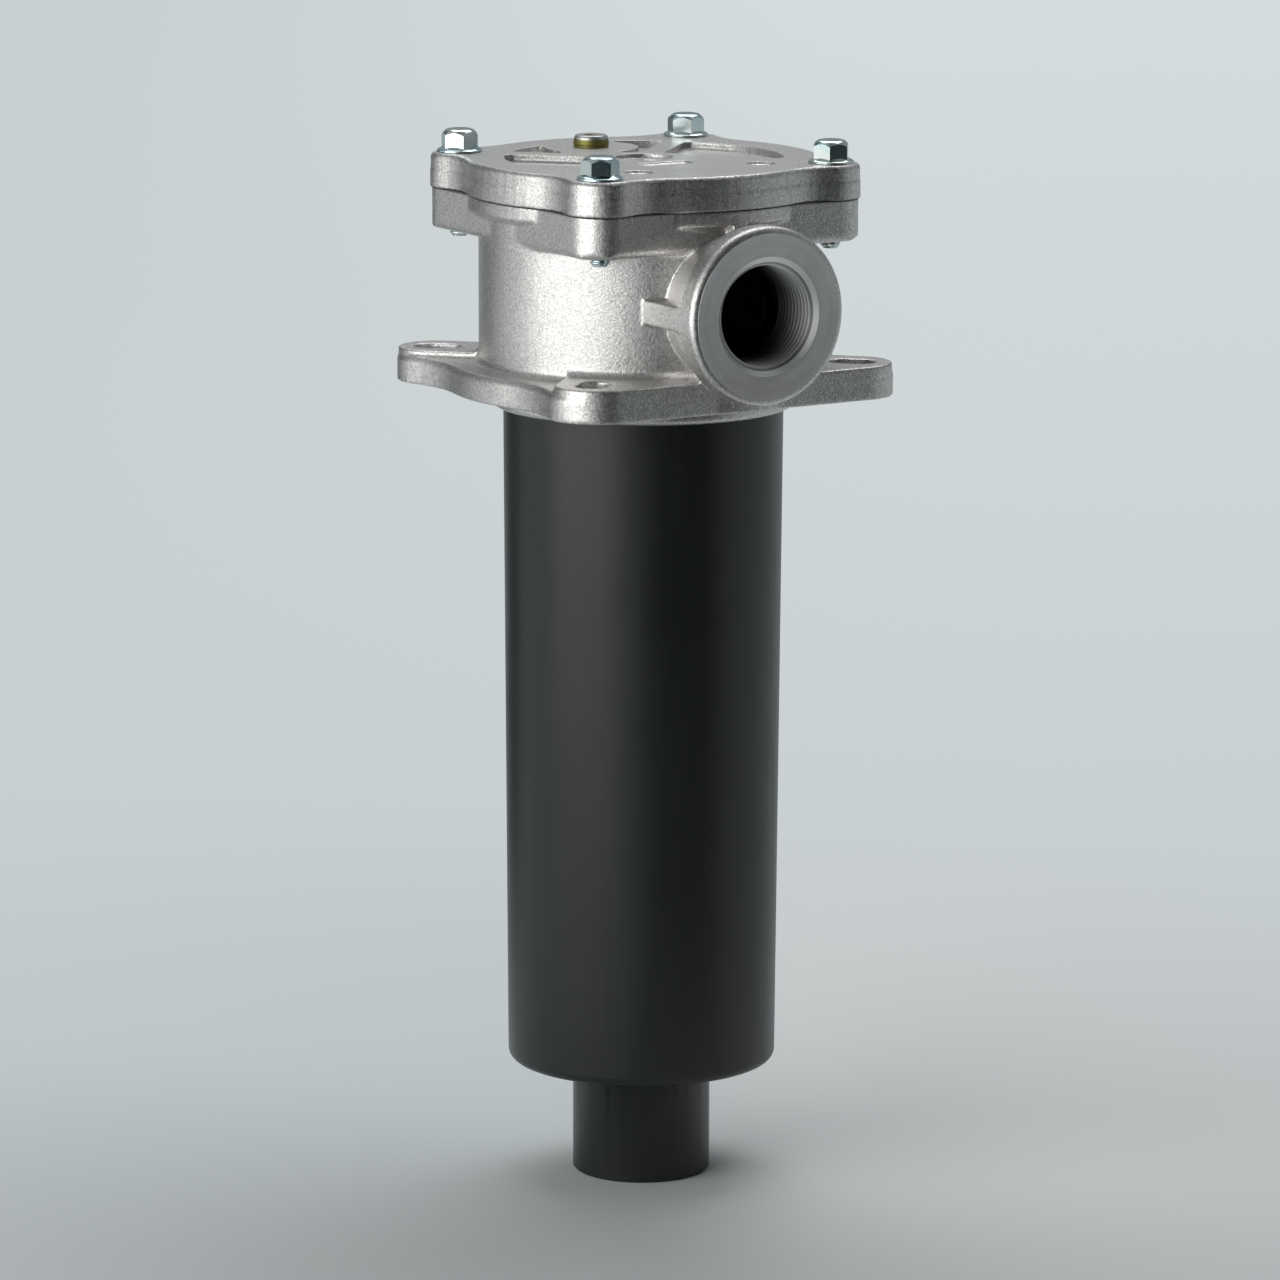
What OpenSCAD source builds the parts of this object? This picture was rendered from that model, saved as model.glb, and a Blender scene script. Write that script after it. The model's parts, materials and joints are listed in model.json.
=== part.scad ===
// Tank-top hydraulic return filter, standing upright. Millimetres, +Z up.
// The origin is on the filter axis, on the underside of the mounting flange, which sits on the tank lid.
// The lugs and cover screws lie on the X and Y axes, and the inlet faces the corner between +X and -Y.

/* [Head casting] */
// Outer radius of the round cast body
body_r = 64.75; // [62:0.25:80]
// Thickness of the body wall
body_wall = 5.25; // [4:0.25:8]
// Height of the joint face, where the cover sits, above the tank face
head_h = 77; // [74:1:110]
// Height of the lip round the joint face, between the ears
lip_h = 5.5; // [3:0.5:9]
// How far the lip stands out from the body wall
lip_out = 4.45; // [2:0.05:6]
// Height of the four threaded ears
ear_h = 16.4; // [12:0.2:22]
// Radius of an ear's rounded nose
ear_nose_r = 13.2; // [11:0.1:15]
// Radius that rounds the bottom edge of the ears
ear_edge_r = 3; // [1:0.5:5]
// How far the spigot below the tank face stands out past the bore above it
spigot_out = 0.5; // [0.2:0.1:3]
// Depth of the spigot below the tank face
spigot_h = 6.7; // [4:0.1:14]
// Height of the ledge that carries the bowl, above the tank face
ledge_z = 4; // [2:0.5:8]
// Width of that ledge
ledge_w = 3.9; // [3:0.1:6]

/* [Mounting flange] */
// Height of the raised pads round the slots
pad_h = 13; // [11:0.5:20]
// Height of the flange plate between the pads
plate_h = 10.6; // [7:0.1:12]
// How far the round plate stands out from the body wall
plate_out = 12.25; // [8:0.25:16]
// Distance from the body wall out to the middle of a slot
slot_out = 18.75; // [18:0.25:24]
// Overall length of a slot, which runs towards the axis
slot_len = 18.5; // [14:0.5:20]
// Width of a slot
slot_w = 12; // [9:0.5:14]
// Metal left beyond the outer end of a slot
lug_edge = 6.75; // [5:0.25:12]
// Radius of a lug's nose
lug_nose_r = 18.5; // [16:0.5:22]
// Radius of a raised pad
pad_r = 15.5; // [12:0.5:16]
// Radius of the concave curve beside each lug
lug_blend_r = 55; // [20:5:90]
// Radius that rounds the top edge of the plate
plate_edge_r = 2; // [0.5:0.1:3]
// Radius of the fillet where the body rises from the flange
foot_fillet_r = 3; // [1.5:0.5:5]

/* [Inlet port] */
// Distance from the body wall out to the machined face
port_reach = 25.25; // [22:0.25:40]
// Radius of the round collar behind the face
port_collar_r = 34.6; // [30:0.1:34.6]
// Length of that collar
port_collar_len = 9; // [4:0.5:12]
// Radius of the neck where it leaves the body
port_neck_r = 27; // [24:0.5:30]
// Minor radius of the inlet thread
port_minor_r = 19.476; // [15:0.001:19.476]
// Major radius of the inlet thread
port_major_r = 20.955; // [20.5:0.001:22]
// Radius of the chamfer at its mouth
port_mouth_r = 23.1; // [22.3:0.05:24]
// Radius that rounds the edge of the machined face
port_edge_r = 2.6; // [1:0.1:3.5]
// Length of the threaded bore
port_thread_len = 24; // [16:1:25]
// Thickness of the web on each side of the port
port_web_t = 9.3; // [5:0.1:12]
// Thickness of the gusset above the port
port_gusset_t = 6; // [4:0.5:9]

/* [Cover] */
// Thickness of the cover
cover_t = 13.5; // [12:0.1:18]
// How far the cover's edge stands out past the head's lip
cover_overhang = 0.8; // [0.2:0.1:1.5]
// Radius of the concave curve beside each ear
ear_blend_r = 28; // [8:1:50]
// Radius that rounds the top edge of the cover
cover_edge_r = 1.3; // [0.5:0.1:2]
// Step in the cover's edge where the two halves of the mould met
mould_step = 0.25; // [0.05:0.05:0.5]
// Depth of the pockets in the top
pocket_d = 2.9; // [1:0.1:4]
// Width of the flat ring between the pockets and the edge
ring_w = 15.5; // [14:0.5:18]
// Width of the ribs that run to the left and rear ears
rib_w = 9; // [5:0.5:12]
// Distance from the inner edge of that ring in to the plug
plug_inset = 15; // [13:0.5:20]
// Radius of the round land under the plug
plug_land_r = 19; // [15:0.5:21]
// Thickness of the roof over the hollow underside
roof_t = 7.9; // [7:0.1:9]
// Depth of the locating rim inside the head
rim_h = 4; // [2:0.5:6]

/* [Cover screws] */
// Distance from the body wall out to a cover screw
screw_out = 9.65; // [9.4:0.05:12]
// Radius of the screw's thread
screw_r = 4; // [3:0.5:4.5]
// Length under the head
screw_len = 33.2; // [31:0.1:40]
// Width across the flats of the hexagon
screw_flats = 13; // [11:0.5:14]
// Radius of the flange under the hexagon
screw_flange_r = 8.95; // [8.2:0.05:10]
// Height of the whole head
screw_head_h = 9; // [7:0.1:11]

/* [Gauge port plug] */
// Radius of the plug's thread
plug_thread_r = 4.86; // [4:0.01:6.5]
// Radius of the plug's collar
plug_collar_r = 7.1; // [7:0.1:8.5]
// Radius of the collar's top
plug_top_r = 6.3; // [5.5:0.1:6.8]
// Height of the collar
plug_collar_h = 4.2; // [3:0.1:5]
// Length of the thread
plug_thread_len = 8; // [6:0.5:9]
// Width across the flats of the hexagon socket
plug_socket = 5; // [4:0.5:6]
// Thickness of the sealing ring under the collar
plug_ring_t = 1; // [0.5:0.1:2]

/* [Bowl] */
// Distance from the tank face down to the bottom of the bowl
bowl_h = 271; // [180:1:400]
// Wall thickness
bowl_wall = 3.2; // [2.5:0.1:4]
// Thickness of the bottom
bowl_floor = 3.5; // [2.5:0.1:6]
// Taper of the outside, in degrees
bowl_taper = 0.41; // [0:0.01:0.6]
// Radius of the bottom corner
bowl_corner_r = 3.9; // [1:0.1:8]
// Height of the collar above the ledge
collar_h = 12; // [9:0.5:14]
// Radius of the outlet spout
spout_r = 27.35; // [26:0.05:32]
// Length of the spout
spout_len = 45.8; // [30:0.1:70]
// Bore radius of the spout
spout_bore_r = 23.3; // [22:0.1:24]

/* [Filter element] */
// Room between the element and the bottom of the bowl's wall
element_room = 4; // [3:0.5:8]
// Thickness of the end caps
cap_t = 3; // [2:0.5:5]
// Depth of the rims that hold the pleats
cap_rim_h = 8; // [4:0.5:12]
// Height of the top of the element above the tank face
element_top = 13; // [5:0.5:14]
// Number of pleats
pleats = 44; // [20:1:60]
// Thickness of the pleated layers
pleat_t = 1.2; // [0.8:0.1:1.5]
// Outer radius of the perforated core
core_r = 28; // [25:0.5:29]
// Room between the core and the pleats
core_room = 2.2; // [0.5:0.1:3]
// Thickness of the core's sheet
core_t = 0.8; // [0.6:0.1:1.5]
// Radius of a hole in the core
core_hole_r = 3.5; // [2:0.5:4]
// Rows of holes in the core
core_rows = 14; // [6:1:18]

/* [Bypass valve] */
// Outer radius of the seat's neck in the top cap
seat_neck_r = 20.8; // [20:0.1:22]
// Radius of the bypass opening
seat_bore_r = 14; // [10:0.5:14.5]
// Depth of the neck below the top of the element
seat_neck_h = 10; // [8:0.5:14]
// Width of the rim of the seat that rests on the cap
seat_rim_w = 4.2; // [3:0.1:6]
// Gap between the poppet and the wall of the cage
poppet_room = 0.7; // [0.5:0.1:1.2]
// Radius of the poppet's stem
stem_r = 3; // [2:0.1:4]
// Depth of the cage below the seat
cage_h = 30; // [26:1:40]
// Wall thickness of the cage
cage_wall = 1.7; // [1.4:0.1:1.7]
// Wire radius of the bypass spring
bypass_wire_r = 0.8; // [0.5:0.1:1]
// Mean radius of the bypass spring
bypass_coil_r = 9; // [8.5:0.5:12]

/* [Hold-down spring] */
// Wire radius
hold_wire_r = 1.6; // [1:0.1:2]
// Mean radius of the coil
hold_coil_r = 20.5; // [19.5:0.5:22]

/* [Seals] */
// Axial or radial depth of a fitted seal ring
seal_t = 2.4; // [2:0.1:2.6]
// Width of a fitted seal ring
seal_w = 3.4; // [3:0.1:4]

/* [Hidden] */
$fn = 96;
eps = 0.01;
fit_gap = 0.3;
slide_gap = 0.05;
port_angle = -45;
plug_angle = 135;
ear_angles = [270, 0, 90, 180];

// Radii that follow from the body
bore_r = body_r - body_wall;
ledge_hole_r = bore_r - ledge_w;
bowl_gap = 0.45;
bowl_top_r = ledge_hole_r - bowl_gap;
spigot_r = bore_r + spigot_out;
spigot_edge_r = 2.5;
lip_r = body_r + lip_out;
lip_slope = 2;
cover_r = lip_r + cover_overhang;
plate_r = body_r + plate_out;

// Ears and cover screws
screw_pos_r = body_r + screw_out;
ear_inset = 2.4;
ear_pos_r = screw_pos_r - ear_inset;
cover_nose_r = ear_nose_r + cover_overhang;
screw_hole_gap = 0.5;

// Mounting lugs
slot_pos_r = body_r + slot_out;
lug_tip_r = slot_pos_r + slot_len / 2 + lug_edge;
lug_pos_r = lug_tip_r - lug_nose_r;
pad_pos_r = lug_tip_r - pad_r;
pad_bevel = 0.5;

// Inlet port
port_z = head_h / 2;
port_face = body_r + port_reach;
port_chamfer = port_mouth_r - port_major_r;
port_passage_r = port_minor_r - 0.7;
port_start = sqrt(bore_r * bore_r - port_collar_r * port_collar_r);
gusset_top = head_h - lip_h;
gusset_reach = 5;

// Cover
cover_top = head_h + cover_t;
roof_z = cover_top - roof_t;
rim_r = bore_r - fit_gap;
rim_wall = 4.2;
pocket_ring_r = cover_r - ring_w;
plug_pos_r = pocket_ring_r - plug_inset;
mould_z = cover_top - cover_t / 2;
plug_pos = plug_pos_r * [cos(plug_angle), sin(plug_angle)];
plug_boss_r = plug_thread_r + 4;
plug_boss_h = 4;
hub_r = 17;
hub_pit_r = 11;
hub_pit_d = 2;
hub_pip_r = 4;
hub_pip_pos = [3, -1];
label_size = [22, 8.5];
label_out = 21.5;
label_side = -3.4;
label_d = 1;
pin_mark_r = 5.5;
pin_mark_out = 49.5;
pin_mark_angle = 34.5;
pin_mark_d = 1.2;
corner_r = 3;
left_pocket = [-12, -36];
right_pocket_y = 9;
spring_ring_r = hold_coil_r - hold_wire_r - fit_gap;
spring_ring_wall = 3;
spring_ring_h = 4;

// Seals in their grooves
cover_groove_r = bore_r + 1.6;
bowl_seal_z = ledge_z + collar_h / 2;
neck_seal_drop = 9;

// Bowl
bowl_bottom_r = bowl_top_r - bowl_h * tan(bowl_taper);
bowl_inner_z = bowl_floor - bowl_h;
spout_end_z = -bowl_h - spout_len;
spout_chamfer = 1;
collar_r = bore_r - fit_gap;

// Filter element
element_r = bowl_bottom_r - bowl_wall - element_room;
rim_t = 1.5;
media_r = element_r - rim_t - fit_gap;
media_inner_r = core_r + core_room;
media_bottom = bowl_inner_z + cap_t;
media_top = element_top - cap_t;
media_h = media_top - media_bottom;
neck_r = spout_bore_r - 0.4;
neck_wall = 3.5;
neck_h = 18;
core_holes = 6;

// Bypass valve
seat_rim_t = 3;
seat_z = element_top - seat_neck_h / 2;
seat_top = element_top + seat_rim_t;
skirt_wall = 1.8;
cage_r = seat_neck_r - skirt_wall;
cage_in_r = cage_r - cage_wall;
cage_floor_t = 2.4;
cage_floor_z = seat_z - cage_h + cage_floor_t;
cage_windows = 4;
window_w = 16;
window_margin = 7;
guide_r = 6;
guide_h = 4;
poppet_r = cage_in_r - poppet_room;
poppet_t = 3;
poppet_z = seat_z - slide_gap - poppet_t;
poppet_boss_h = 1.5;
poppet_boss_r = bypass_coil_r - bypass_wire_r - 1.2;
stem_end_z = seat_z - cage_h - 2;

// Springs
coil_sides = 8;
coil_steps = 20;
bypass_turns = 6;
hold_turns = 6.5;

function arc(c, r, a0, a1, n = 8) =
    [for (i = [0:n]) let (a = a0 + (a1 - a0) * i / n) c + r * [cos(a), sin(a)]];
function turn(p, a) = [p.x * cos(a) - p.y * sin(a), p.x * sin(a) + p.y * cos(a)];
function unit(v) = v / norm(v);
function across_port(p) = [-p.y, -p.x];

// One corner of an outline, given as [x, y, radius], becomes an arc that is tangent to both sides
function corner(p, v, q) =
    let (
        at = [v.x, v.y],
        u = unit([p.x, p.y] - at),
        w = unit([q.x, q.y] - at),
        half = acos(u * w) / 2,
        c = at + unit(u + w) * v.z / sin(half),
        from = at + u * v.z / tan(half) - c,
        to = at + w * v.z / tan(half) - c,
        a0 = atan2(from.y, from.x),
        sweep = atan2(to.y, to.x) - a0,
        short = sweep > 180 ? sweep - 360 : sweep < -180 ? sweep + 360 : sweep
    )
    v.z == 0 ? [at] : arc(c, v.z, a0, a0 + short, 5);
function rounded(pts) = let (n = len(pts))
    [for (i = [0:n - 1]) each corner(pts[(i + n - 1) % n], pts[i], pts[(i + 1) % n])];
function on_ring(a, r = 0) = [pocket_ring_r * cos(a), pocket_ring_r * sin(a), r];
function on_circle(c, r, a0, a1, n) = [for (p = arc(c, r, a0, a1, n)) [p.x, p.y, 0]];

// A disc with four noses on the axes, each joined to it by concave curves
function eared_outline(disc_r, nose_pos, nose_r, blend_r) =
    let (
        reach = disc_r + blend_r,
        span = nose_r + blend_r,
        beta = acos((reach * reach + nose_pos * nose_pos - span * span) / (2 * reach * nose_pos)),
        c = reach * [cos(beta), sin(beta)],
        to_nose = atan2(-c.y, nose_pos - c.x),
        nose_end = to_nose + 180,
        quarter = concat(
            arc([nose_pos, 0], nose_r, -nose_end, nose_end, 14),
            arc(c, blend_r, to_nose, beta - 180, 6),
            arc([0, 0], disc_r, beta, 90 - beta, 10),
            arc([c.y, c.x], blend_r, 270 - beta, 90 - to_nose, 6)
        )
    )
    [for (k = [0:3]) each [for (p = quarter) turn(p, 90 * k)]];

// A square on its corner, with rounded corners on the axes
function diamond_outline(nose_pos, nose_r) =
    [for (k = [0:3]) each [for (p = arc([nose_pos, 0], nose_r, -45, 45, 12)) turn(p, 90 * k)]];

// A tube swept along a helix whose first and last turns lie flat
function coil_height(t, turns, length, wire_r) =
    let (flat = 2.1 * wire_r, rise = length - 2 * wire_r - 2 * flat)
    wire_r + (t < 1 ? flat * t
        : t > turns - 1 ? flat + rise + flat * (t - turns + 1)
        : flat + rise * (t - 1) / (turns - 2));
module coil(coil_r, wire_r, turns, length) {
    rings = floor(turns * coil_steps);
    points = [
        for (i = [0:rings]) let (t = i / coil_steps, a = 360 * t, z = coil_height(t, turns, length, wire_r))
        for (k = [0:coil_sides - 1]) let (b = 360 * (k + 0.5) / coil_sides, s = wire_r / cos(180 / coil_sides))
        [(coil_r + s * cos(b)) * cos(a), (coil_r + s * cos(b)) * sin(a), z + s * sin(b)]
    ];
    sides = [
        for (i = [0:rings - 1], k = [0:coil_sides - 1])
        let (k2 = (k + 1) % coil_sides, a = i * coil_sides, b = a + coil_sides)
        each [[a + k, b + k, b + k2], [a + k, b + k2, a + k2]]
    ];
    first = [for (k = [0:coil_sides - 1]) k];
    last = [for (k = [coil_sides - 1:-1:0]) rings * coil_sides + k];
    polyhedron(points, concat(sides, [first, last]));
}

module seal_ring(in_r, z, width_r, height) {
    edge = min(width_r, height) / 4;
    translate([0, 0, z]) rotate_extrude() polygon(rounded([
        [in_r, 0, edge], [in_r + width_r, 0, edge], [in_r + width_r, height, edge], [in_r, height, edge]
    ]));
}

module at_screws() {
    for (a = ear_angles) rotate(a) translate([screw_pos_r, 0, 0]) children();
}

// The fillet that runs round the body's foot at a height
module foot_fillet(z) {
    rotate_extrude() polygon(concat(
        [[bore_r, z - plate_edge_r], [body_r + foot_fillet_r, z - plate_edge_r]],
        arc([body_r + foot_fillet_r, z + foot_fillet_r], foot_fillet_r, 270, 180, 6),
        [[bore_r, z + foot_fillet_r]]
    ));
}

// An outline with a bevelled top edge
module bevelled(outline, height, bevel, reach) {
    linear_extrude(height - bevel) polygon(outline);
    translate([0, 0, height - bevel]) linear_extrude(bevel, scale = 1 - bevel / reach) polygon(outline);
}

// The straight web that joins the two lugs under the port
function port_web() = concat(
    arc([lug_pos_r, 0], lug_nose_r, -45, 0, 6),
    [[0, 0]],
    arc([0, -lug_pos_r], lug_nose_r, -90, -45, 6)
);

module head_flange() {
    bevelled(eared_outline(plate_r, lug_pos_r, lug_nose_r, lug_blend_r), plate_h, plate_edge_r, lug_tip_r);
    bevelled(port_web(), pad_h, pad_bevel, lug_tip_r);
    for (a = ear_angles) rotate(a) {
        translate([pad_pos_r, 0, 0]) cylinder(r1 = pad_r, r2 = pad_r - pad_bevel, h = pad_h);
        translate([bore_r, pad_bevel - pad_r, 0]) cube([pad_pos_r - bore_r, 2 * (pad_r - pad_bevel), pad_h]);
    }
    foot_fillet(plate_h);
    intersection() {
        foot_fillet(pad_h);
        union() {
            for (a = ear_angles) rotate(a) translate([0, pad_bevel - pad_r, 0])
                cube([lug_pos_r, 2 * (pad_r - pad_bevel), port_z]);
            linear_extrude(port_z) polygon(port_web());
        }
    }
}

// A bar that crosses the axis between the flanks of the ears, with rounded bottom edges
module flank_bar(half_w) {
    length = 2 * (ear_pos_r + ear_nose_r);
    rotate([90, 0, 0]) linear_extrude(length, center = true) polygon(concat(
        arc([ear_edge_r - half_w, ear_edge_r], ear_edge_r, 180, 270, 4),
        arc([half_w - ear_edge_r, ear_edge_r], ear_edge_r, 270, 360, 4),
        [[half_w, ear_h], [-half_w, ear_h]]
    ));
}

// The threaded ears and the lip round the joint face
module ears() {
    nose_tip = ear_pos_r + ear_nose_r;
    flank = ear_pos_r * cos(45) + ear_nose_r;
    translate([0, 0, head_h - ear_h]) intersection() {
        linear_extrude(ear_h) polygon(diamond_outline(ear_pos_r, ear_nose_r));
        rotate_extrude() polygon(concat(
            [[0, 0]], arc([nose_tip - ear_edge_r, ear_edge_r], ear_edge_r, 270, 360, 4),
            [[nose_tip, ear_h], [0, ear_h]]
        ));
        rotate(45) flank_bar(flank);
        rotate(-45) flank_bar(flank);
    }
    translate([0, 0, head_h]) mirror([0, 0, 1]) bevelled(
        eared_outline(lip_r, ear_pos_r, ear_nose_r, ear_blend_r), lip_h + lip_slope, lip_slope, nose_tip / 2
    );
}

module port_boss() {
    rotate(port_angle) {
        translate([0, 0, port_z]) rotate([0, 90, 0]) rotate_extrude() polygon(concat(
            [[0, port_start], [port_neck_r, port_start], [port_neck_r, bore_r],
                [port_collar_r, port_face - port_collar_len]],
            arc([port_collar_r - port_edge_r, port_face - port_edge_r], port_edge_r, 0, 90, 5),
            [[0, port_face]]
        ));
        translate([port_start, -port_collar_r, port_z - port_web_t / 2])
            cube([port_face - port_collar_len - port_start, 2 * port_collar_r, port_web_t]);
        translate([port_start, -port_gusset_t / 2, port_z])
            cube([body_r + gusset_reach - port_start, port_gusset_t, gusset_top - port_z]);
    }
}

module port_bore() {
    rotate(port_angle) translate([0, 0, port_z]) rotate([0, 90, 0]) rotate_extrude() polygon([
        [0, port_start - port_passage_r], [port_passage_r, port_start - port_passage_r],
        [port_passage_r, port_face - port_thread_len], [port_minor_r, port_face - port_thread_len],
        [port_minor_r, port_face - port_chamfer], [port_major_r, port_face - port_chamfer],
        [port_mouth_r + eps, port_face + eps], [0, port_face + eps]
    ]);
}

module slots() {
    end = (slot_len - slot_w) / 2;
    for (a = ear_angles) rotate(a) translate([slot_pos_r, 0, -eps]) {
        for (x = [-end, end]) translate([x, 0, 0]) cylinder(r = slot_w / 2, h = pad_h + 2 * eps);
        translate([-end, -slot_w / 2, 0]) cube([2 * end, slot_w, pad_h + 2 * eps]);
    }
}

module head() {
    color("#b9b6b3") difference() {
        union() {
            translate([0, 0, plate_h]) cylinder(r = body_r, h = head_h - plate_h);
            rotate_extrude() polygon(concat(
                [[0, -spigot_h]],
                arc([spigot_r - spigot_edge_r, spigot_edge_r - spigot_h], spigot_edge_r, 270, 360, 6),
                [[spigot_r, plate_h], [0, plate_h]]
            ));
            head_flange();
            ears();
            port_boss();
        }
        translate([0, 0, ledge_z]) cylinder(r = bore_r, h = head_h);
        translate([0, 0, -spigot_h - eps]) cylinder(r = ledge_hole_r, h = spigot_h + ledge_z + 2 * eps);
        translate([0, 0, head_h - seal_t]) difference() {
            cylinder(r = cover_groove_r + seal_w, h = seal_t + eps);
            translate([0, 0, -eps]) cylinder(r = cover_groove_r, h = seal_t + 3 * eps);
        }
        at_screws() translate([0, 0, head_h - ear_h - eps]) cylinder(r = screw_r, h = ear_h + 2 * eps);
        port_bore();
        slots();
    }
}

module left_pocket() {
    far = -rib_w / 2;
    a0 = 180 + asin(-far / pocket_ring_r);
    a1 = 180 + asin(-left_pocket.y / pocket_ring_r);
    polygon(rounded(concat(
        [[left_pocket.x, far, corner_r], on_ring(a0, corner_r)],
        [for (i = [1:4]) on_ring(a0 + (a1 - a0) * i / 5)],
        [on_ring(a1, corner_r / 2), [left_pocket.x, left_pocket.y, corner_r]]
    )));
}

module right_pocket() {
    a0 = asin(right_pocket_y / pocket_ring_r);
    a1 = 90 - asin(rib_w / 2 / pocket_ring_r);
    h0 = asin(right_pocket_y / hub_r);
    h1 = 90 - asin(rib_w / 2 / hub_r);
    polygon(rounded(concat(
        [on_ring(a0, corner_r)],
        [for (i = [1:9]) on_ring(a0 + (a1 - a0) * i / 10)],
        [on_ring(a1, corner_r), [hub_r * cos(h1), hub_r * sin(h1), 1]],
        [for (i = [1:3]) let (a = h1 + (h0 - h1) * i / 4) [hub_r * cos(a), hub_r * sin(a), 0]],
        [[hub_r * cos(h0), hub_r * sin(h0), 1]]
    )));
}

// The pocket beside the plug's land, which may run on between the land and the hub
function side_pocket(to_hub) =
    let (
        low = rib_w / 2,
        land = plug_land_r,
        a0 = 180 - asin(low / pocket_ring_r),
        half = acos((pocket_ring_r * pocket_ring_r + plug_pos_r * plug_pos_r - land * land)
            / (2 * pocket_ring_r * plug_pos_r)),
        a1 = plug_angle + half,
        ring_end = on_ring(a1) - [plug_pos.x, plug_pos.y, 0],
        past_ring = 10,
        land_end = 360 + atan2(ring_end.y, ring_end.x) + past_ring,
        hub_a = 180 - asin(low / hub_r),
        inner = to_hub
            ? concat(
                [[-hub_r * cos(180 - hub_a), low, 1.2]],
                on_circle([0, 0], hub_r, hub_a - 6, plug_angle + 4, 4),
                on_circle(plug_pos, land, 180 + plug_angle - 3, land_end, 10))
            : concat(
                [[plug_pos.x + land * cos(250), low, 1]],
                on_circle(plug_pos, land, 240, land_end, 5))
    )
    rounded(concat(
        [on_ring(a0, 2)], inner, [on_ring(a1, 1.5)],
        [for (i = [1:3]) on_ring(a1 + (a0 - a1) * i / 4)]
    ));

module cover_pockets() {
    left_pocket();
    right_pocket();
    polygon(side_pocket(false));
    polygon([for (p = side_pocket(true)) across_port(p)]);
}

module cover() {
    color("#b4b1ae") difference() {
        union() {
            translate([0, 0, head_h]) linear_extrude(mould_z - head_h)
                polygon(eared_outline(cover_r, ear_pos_r, cover_nose_r, ear_blend_r));
            translate([0, 0, head_h])
                bevelled(eared_outline(cover_r - mould_step, ear_pos_r, cover_nose_r - mould_step, ear_blend_r),
                    cover_t, cover_edge_r, ear_pos_r + cover_nose_r);
            translate([0, 0, head_h - rim_h]) cylinder(r = rim_r, h = rim_h + eps);
        }
        difference() {
            translate([0, 0, head_h - rim_h - eps]) cylinder(r = rim_r - rim_wall, h = roof_z - head_h + rim_h);
            translate([0, 0, roof_z - spring_ring_h]) difference() {
                cylinder(r = spring_ring_r, h = spring_ring_h + eps);
                translate([0, 0, -eps]) cylinder(r = spring_ring_r - spring_ring_wall, h = spring_ring_h);
            }
            translate([plug_pos.x, plug_pos.y, roof_z - plug_boss_h])
                cylinder(r = plug_boss_r, h = plug_boss_h + eps);
        }
        translate([0, 0, cover_top - pocket_d]) linear_extrude(pocket_d + eps) cover_pockets();
        translate([0, 0, cover_top - hub_pit_d]) difference() {
            cylinder(r = hub_pit_r, h = hub_pit_d + eps);
            translate([hub_pip_pos.x, hub_pip_pos.y, -eps]) cylinder(r = hub_pip_r, h = hub_pit_d - label_d / 2);
        }
        rotate(port_angle) {
            translate([label_out - label_size.y / 2, label_side - label_size.x / 2, cover_top - label_d])
                linear_extrude(label_d + eps) polygon(rounded([
                    [0, 0, corner_r / 2], [label_size.y, 0, corner_r / 2],
                    [label_size.y, label_size.x, corner_r / 2], [0, label_size.x, corner_r / 2]
                ]));
            for (side = [-1, 1]) rotate(side * pin_mark_angle) translate([pin_mark_out, 0, cover_top - pin_mark_d])
                cylinder(r = pin_mark_r, h = pin_mark_d + eps);
        }
        at_screws() translate([0, 0, head_h - eps]) cylinder(r = screw_r + screw_hole_gap, h = cover_t + 2 * eps);
        translate([plug_pos.x, plug_pos.y, roof_z - plug_boss_h - eps])
            cylinder(r = plug_thread_r, h = plug_boss_h + roof_t + 2 * eps);
    }
}

module cover_screw(angle) {
    hex_r = screw_flats / 2 / cos(30);
    flange_t = 1.2;
    cone_h = 1.4;
    dome = 1.3;
    tip = 1;
    color("#a8c0c2") rotate(angle) translate([screw_pos_r, 0, cover_top]) {
        rotate_extrude() polygon([
            [0, -screw_len], [screw_r - tip, -screw_len], [screw_r, tip - screw_len], [screw_r, 0],
            [screw_flange_r, 0], [screw_flange_r, flange_t], [screw_flats / 2, flange_t + cone_h],
            [0, flange_t + cone_h]
        ]);
        intersection() {
            rotate(15 - angle) cylinder(r = hex_r, h = screw_head_h, $fn = 6);
            rotate_extrude() polygon([
                [0, eps], [hex_r + 1, eps], [hex_r + 1, screw_head_h - dome - 1],
                [screw_flats / 2 - dome / 2, screw_head_h - dome / 2], [screw_flats / 3, screw_head_h],
                [0, screw_head_h]
            ]);
        }
    }
}

module gauge_port_plug() {
    seat = cover_top + plug_ring_t;
    bevel = 0.9;
    socket_d = plug_collar_h + 1.6;
    color("#a8993a") translate([plug_pos.x, plug_pos.y, seat]) difference() {
        rotate_extrude() polygon([
            [0, -plug_thread_len], [plug_thread_r - bevel, -plug_thread_len],
            [plug_thread_r, bevel - plug_thread_len], [plug_thread_r, 0], [plug_collar_r, 0],
            [plug_collar_r, bevel], [plug_top_r, plug_collar_h - bevel / 2],
            [plug_top_r - bevel / 2, plug_collar_h], [0, plug_collar_h]
        ]);
        translate([0, 0, plug_collar_h - socket_d])
            cylinder(r = plug_socket / 2 / cos(30), h = socket_d + eps, $fn = 6);
    }
}

module plug_sealing_ring() {
    color("#a5a04a") translate([plug_pos.x, plug_pos.y, cover_top]) difference() {
        cylinder(r = plug_collar_r - 0.2, h = plug_ring_t);
        translate([0, 0, -eps]) cylinder(r = plug_thread_r + fit_gap / 2, h = plug_ring_t + 2 * eps);
    }
}

module cover_seal() {
    color("#1c1c1d") seal_ring(cover_groove_r, head_h - seal_t, seal_w, seal_t);
}

module bowl_seal() {
    color("#1c1c1d") seal_ring(bore_r - seal_t, bowl_seal_z - seal_w / 2, seal_t, seal_w);
}

module element_seal() {
    color("#1c1c1d") seal_ring(spout_bore_r - seal_t, bowl_inner_z - neck_seal_drop - seal_w / 2, seal_t, seal_w);
}

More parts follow.
